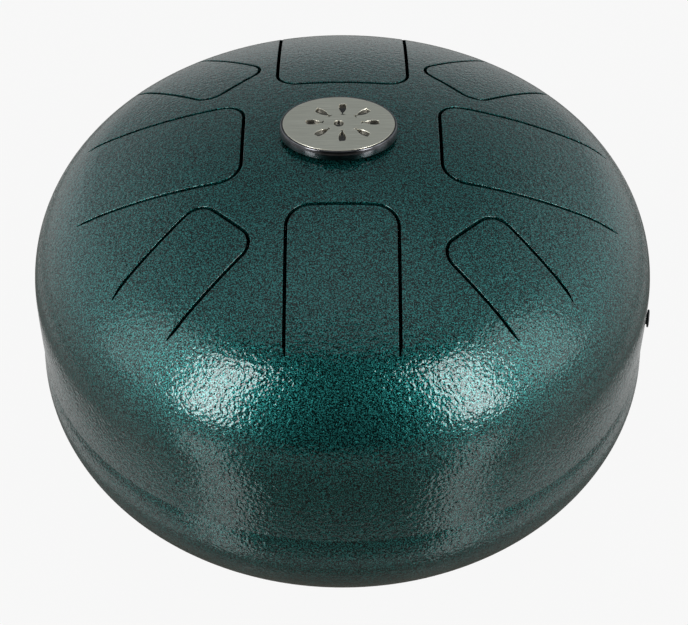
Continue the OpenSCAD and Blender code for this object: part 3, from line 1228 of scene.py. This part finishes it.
@dataclass(frozen=True)
class Badge:
    """Oval badge on the crown: a chrome dish, an enamel floor and a pierced nickel face."""

    # Corners of the dish's box, and level of the face
    low: Vector
    high: Vector
    face_top: float
    rim: float = 0.8 * MM
    recess: float = 1.5 * MM
    ring: float = 0.8 * MM
    # How far the side of the dish draws in towards its rim, and how late it does
    roll_in: float = 0.7 * MM
    roll_power: int = 3
    side_steps: int = 12
    # Rounding of the dish's edges
    edge: float = 0.4 * MM
    edge_steps: int = 4
    edge_angle: float = math.radians(50)
    face_t: float = 1.3 * MM
    # Rounding of the face's edges
    lip: float = 0.22 * MM
    petal_l: float = 9 * MM
    petal_w: float = 3.4 * MM
    # Place of the petals between the middle and the oval's edge
    petal_share: float = 0.53
    petals: int = 8
    petal_steps: int = 32
    centre_r: float = 2.3 * MM
    centre_steps: int = 40
    # How deep a cutting tool reaches under the face, as a share of the face's thickness, and how far over it
    cut_share: float = 1.5
    cut_over: float = 1 * MM

    @property
    def centre(self) -> Vector:
        """Middle of the oval, glued a little off the drum's axis."""
        return (self.low + self.high) / 2

    @property
    def half_w(self) -> float:
        """Half the length of the oval."""
        return (self.high.x - self.low.x) / 2

    @property
    def half_d(self) -> float:
        """Half the width of the oval."""
        return (self.high.y - self.low.y) / 2

    def disc(self, name: str, half_w: float, half_d: float, z: float, points: int = 128) -> Object:
        """Makes a flat and level oval face on the badge's own axis.

        Args:
            name: Name of the object.
            half_w: Half its length.
            half_d: Half its width.
            z: Its level.
            points: Points round it.

        Returns:
            The object.
        """
        obj = added(name, bpy.ops.mesh.primitive_circle_add, vertices=points, radius=1, fill_type="NGON")
        obj.scale = (half_w, half_d, 1)
        return turned(obj, (0, 0, 0), (self.centre.x, self.centre.y, z))

    def build(self) -> None:
        """Makes the dish and the face, and dresses the enamel and the pad."""
        height = self.high.z - self.low.z
        dish = self.disc("badge_dish", self.half_w, self.half_d, self.low.z)
        swell = [self.roll_in * (k / self.side_steps) ** self.roll_power for k in range(self.side_steps + 1)]
        rise = [height * k / self.side_steps for k in range(self.side_steps + 1)]
        side = [(swell[k + 1] - swell[k], rise[k + 1] - rise[k]) for k in range(self.side_steps)]
        stacked(dish, side + [(self.rim, 0), (0, -self.recess)])
        apply_modifier(dish, "BEVEL", width=self.edge, segments=self.edge_steps,
                       limit_method="ANGLE", angle_limit=self.edge_angle)
        shaded(dish)
        settle(dish, Body.DRUM, Slot.CHROME, CHROME, "badge_base")
        border = self.rim + self.ring
        face_w, face_d = self.half_w - border, self.half_d - border
        near, far = self.lip * ROUND_NEAR, self.lip * ROUND_FAR
        face = self.disc("badge_plate", face_w, face_d, self.face_top - self.face_t)
        stacked(face, [(0, self.face_t - self.lip), (near, far), (far, near)])
        cuts = [self.petal_cut(k) for k in range(self.petals)] + [self.centre_cut()]
        combine(face, joined(cuts), "DIFFERENCE")
        only(face)
        bpy.ops.object.shade_flat()
        settle(face, Body.DRUM, Slot.NICKEL, NICKEL, "badge_face")
        dress(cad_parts["badge_enamel"], ENAMEL)
        dress(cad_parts["badge_pad"], FOAM)

    def flared(self, obj: Object, half_l: float, half_w: float) -> Object:
        """Builds a flat outline up into a tool whose walls flare where they pass the badge's face.

        Args:
            obj: Object that holds one level face, centred on the badge.
            half_l: Half its length.
            half_w: Half its width.

        Returns:
            The same object, at the height of the badge's face.
        """
        depth = self.face_t * self.cut_share
        near, far = self.lip * ROUND_NEAR, self.lip * ROUND_FAR
        stacked(obj, [(0, depth - self.lip), (0, far), (0, near), (0, self.cut_over)])

        def flare(point: Vector) -> Vector:
            """Draws a point in by the rounding at its depth, and puts it on its level.

            Args:
                point: Any point of the tool.

            Returns:
                Its new place.
            """
            under = depth - point.z
            inset = 0 if under < MERGE else far if under < self.lip / 2 else self.lip
            away = point - self.centre
            x = self.centre.x + away.x * (1 - inset / half_l)
            y = self.centre.y + away.y * (1 - inset / half_w)
            return Vector((x, y, self.face_top - under))

        move_points(obj, flare)
        return obj

    def centre_cut(self) -> Object:
        """Tool that cuts the round hole in the middle."""
        radius = self.centre_r + self.lip
        return self.flared(self.disc("centre_cut", radius, radius, 0, self.centre_steps), radius, radius)

    def petal_cut(self, index: int) -> Object:
        """Makes a tool that cuts one petal, pointed at both ends.

        Args:
            index: Number of the petal, counted from +X.

        Returns:
            The tool, in its place.
        """
        half_l, half_w = self.petal_l / 2 + 2 * self.lip, self.petal_w / 2 + self.lip
        arc_r = (half_l ** 2 + half_w ** 2) / (2 * half_w)
        obj = self.disc(f"petal_cut_{index}", half_l, half_w, 0, self.petal_steps)

        def pointed(point: Vector) -> Vector:
            """Moves a point of the oval onto the two arcs that meet at the petal's ends."""
            side = math.sqrt(max(0.0, arc_r ** 2 - point.x ** 2)) - (arc_r - half_w)
            return Vector((point.x, math.copysign(side, point.y), point.z)) if abs(point.y) > MERGE else point

        move_points(obj, pointed)
        self.flared(obj, half_l, half_w)
        turn = math.tau * index / self.petals
        x = self.half_w * self.petal_share * math.cos(turn)
        y = self.half_d * self.petal_share * math.sin(turn)
        return turned(obj, (0, 0, math.atan2(y, x)), (x, y, 0))


# Studio


@dataclass(frozen=True)
class Lamp:
    """A soft area lamp that looks at a point over the drum."""

    name: str
    place: Point
    width: float
    height: float
    radiance: float
    aim: Point = (0, 0, 0.5)

    def build(self) -> None:
        """Adds the lamp, turned so that its short side is level."""
        data = bpy.data.lights.new(self.name, "AREA")
        data.shape = "RECTANGLE"
        data.size = self.width
        data.size_y = self.height
        data.energy = self.radiance * math.pi * self.width * self.height
        obj = bpy.data.objects.new(self.name, data)
        bpy.context.scene.collection.objects.link(obj)
        obj.location = self.place
        direction = Vector(self.aim) - Vector(self.place)
        obj.rotation_euler = direction.to_track_quat("-Z", "Y").to_euler()


@dataclass(frozen=True)
class Surroundings:
    """What stands round the drum: before it, behind it and at its sides."""

    beside: str
    # Where the back begins and where it is full, by the Y of a direction, and the same for the sides by its X
    back_from: float = -0.3
    back_full: float = 0.0
    side_from: float = 0.35
    side_full: float = 0.8

    def seen(self, graph: Graph, bearing: Socket, ahead: Colour, behind: Colour) -> Socket:
        """Mixes what stands on each side of the drum.

        Args:
            graph: Nodes of the world or the floor.
            bearing: Direction from the drum.
            ahead: Light on the camera's side.
            behind: Light on the far side.

        Returns:
            The light from that direction.
        """
        parts = graph.node("SeparateXYZ", {"Vector": bearing})
        back = graph.remap(parts.outputs["Y"], (self.back_from, self.back_full), smooth=True)
        across = graph.calc("ABSOLUTE", parts.outputs["X"])
        side = graph.remap(across, (self.side_from, self.side_full), smooth=True)
        return graph.mix(side, graph.mix(back, ahead, behind), linear(self.beside))


@dataclass(frozen=True)
class Studio:
    """Camera, lamps, world and floor, which aren't part of the drum, in metres and degrees."""

    camera_place: Point = (0.00074, -0.75185, 0.79331)
    camera_pitch: float = 47.369
    lens_mm: float = 104.65
    sensor_mm: float = 36.0
    near_clip: float = 0.01
    lamps: tuple[Lamp, ...] = (
        Lamp("left_key", (-0.92, -0.94, 0.90), 0.38, 1.40, 10.8),
        Lamp("right_key", (0.92, -0.94, 0.92), 0.40, 1.40, 9.6),
        Lamp("left_side", (-1.26, -0.36, 0.90), 0.60, 1.50, 1.0),
        Lamp("right_side", (1.26, -0.36, 0.90), 0.60, 1.50, 1.4),
    )
    # Background that the camera sees
    pale: float = 0.94
    # Room that lights the drum. Its back runs by the height of a direction, from level to upright.
    room: Surroundings = Surroundings("#e4eaed")
    room_light: float = 1.25
    room_ahead: str = "#26282a"
    room_behind: Stops = ((0.0, "#999c9e"), (0.5, "#8f9598"), (0.8, "#868d91"), (1.0, "#c6ccd0"))
    floor_size: float = 24.0
    # Light of the pale floor, and the camera's share of it beside the lit table
    floor_light: float = 0.985
    floor_share: float = 0.94
    table: str = "#605c56"
    table_roughness: float = 0.03
    table_ior: float = 2.0
    # Floor that the drum's gloss shows, by the distance from the drum's axis
    sweep: Surroundings = Surroundings("#b0b6b9")
    sweep_ahead: Stops = ((0.49, "#909090"), (0.54, "#a8a8a8"), (0.85, "#808080"), (1.0, "#202020"))
    sweep_behind: Stops = ((0.45, "#909090"), (0.60, "#a8a8a8"))
    # Distances at which the table changes from dark to bright and back, and half the width of each change
    ring_edges: tuple[float, ...] = (0.190, 0.228, 0.330, 0.368, 0.500)
    ring_softness: float = 0.002
    ring_shades: tuple[str, str] = ("#101010", "#ffffff")

    def build(self) -> None:
        """Builds the studio."""
        self.camera()
        self.world()
        self.floor()
        for lamp in self.lamps:
            lamp.build()
        bpy.context.scene.view_settings.view_transform = "Standard"

    def camera(self) -> None:
        """Adds the camera where the photograph was taken from."""
        data = bpy.data.cameras.new("photo_camera")
        data.lens = self.lens_mm
        data.sensor_width = self.sensor_mm
        data.clip_start = self.near_clip
        obj = bpy.data.objects.new("photo_camera", data)
        obj.location = self.camera_place
        obj.rotation_euler = (math.radians(self.camera_pitch), 0, 0)
        bpy.context.scene.collection.objects.link(obj)
        bpy.context.scene.camera = obj

    def world(self) -> None:
        """Lights the room: pale at the sides, dimmer behind the drum, and dark behind the camera."""
        world = bpy.data.worlds.new("studio")
        bpy.context.scene.world = world
        graph = Graph(world)
        bearing = graph.add("TexCoord", output="Generated")
        height = graph.add("SeparateXYZ", {"Vector": bearing}, "Z")
        behind = graph.ramp(height, self.room_behind)
        sky = self.room.seen(graph, bearing, linear(self.room_ahead), behind)
        room = graph.add("Background", {"Strength": self.room_light, "Color": sky})
        backdrop = graph.add("Background", {"Color": WHITE, "Strength": self.pale})
        camera = graph.add("LightPath", output="Is Camera Ray")
        graph.node("OutputWorld", {"Surface": graph.add("MixShader", {0: camera, 1: room, 2: backdrop})})

    def floor(self) -> None:
        """Adds the pale floor: a dim glossy table near the drum, and a bright sweep that gloss shows too."""
        obj = added("studio_floor", bpy.ops.mesh.primitive_plane_add, size=self.floor_size)
        material = bpy.data.materials.new("pale_floor")
        graph = Graph(material)
        table = graph.add("BsdfPrincipled", {
            "Base Color": linear(self.table), "Roughness": self.table_roughness, "IOR": self.table_ior,
        })
        pale = graph.add("Emission", {"Color": WHITE, "Strength": self.floor_light})
        ray = graph.node("LightPath").outputs
        seen = graph.calc("MULTIPLY", ray["Is Camera Ray"], self.floor_share)
        gloss = graph.calc("MAXIMUM", ray["Is Glossy Ray"], ray["Is Transmission Ray"])
        place = graph.add("TexCoord", output="Object")
        bearing = graph.add("VectorMath", {"operation": "NORMALIZE", 0: place}, "Vector")
        reach = graph.add("VectorMath", {"operation": "LENGTH", 0: place}, "Value")
        ahead = graph.ramp(reach, self.sweep_ahead)
        behind = graph.ramp(reach, self.sweep_behind)
        sweep = self.sweep.seen(graph, bearing, ahead, behind)
        rings = graph.ramp(reach, self.ring_stops())
        shown = graph.mix(1.0, sweep, rings, "MULTIPLY")
        share = graph.calc("MULTIPLY_ADD", gloss, shown, seen)
        graph.node("OutputMaterial", {"Surface": graph.add("MixShader", {0: share, 1: table, 2: pale})})
        obj.data.materials.append(material)

    def ring_stops(self) -> list[tuple[float, str]]:
        """Lays out the rings that the table shows.

        Returns:
            Ramp that is dark within the first edge and bright beyond the last.
        """
        stops = []
        for k, edge in enumerate(self.ring_edges):
            stops.append((edge - self.ring_softness, self.ring_shades[k % 2]))
            stops.append((edge + self.ring_softness, self.ring_shades[(k + 1) % 2]))
        return stops


def main() -> None:
    """Builds the drum from its frame, then the studio round it."""
    logging.basicConfig(level=logging.INFO, format="%(name)s: %(message)s")
    upper_low, upper_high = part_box("top_shell")
    lower_low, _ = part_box("bottom_shell")
    base_low, base_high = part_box("badge_base")
    _, face_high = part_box("badge_face")
    form = HeadForm(body_r=upper_high.x)
    upper_knuckle = upper_high.z - form.dish
    port_drop = form.crown_r - math.sqrt(form.crown_r ** 2 - PORT_R ** 2)
    crown_centre = lower_low.z + form.crown_r - port_drop
    seam = Seam(level=upper_low.z, upper_knuckle=upper_knuckle)
    plug = SidePlug(form.body_r, form.wall, (seam.level + upper_knuckle) / 2)
    feet = Feet(crown_centre, form.crown_r)
    Shells(form, seam, crown_centre - form.crown_drop).build(plug, feet)
    feet.build()
    PortEdging(crown_centre, form.crown_r, form.wall).build()
    plug.build()
    Badge(base_low, base_high, face_high.z).build()
    Studio().build()


if __name__ == "__main__":
    main()
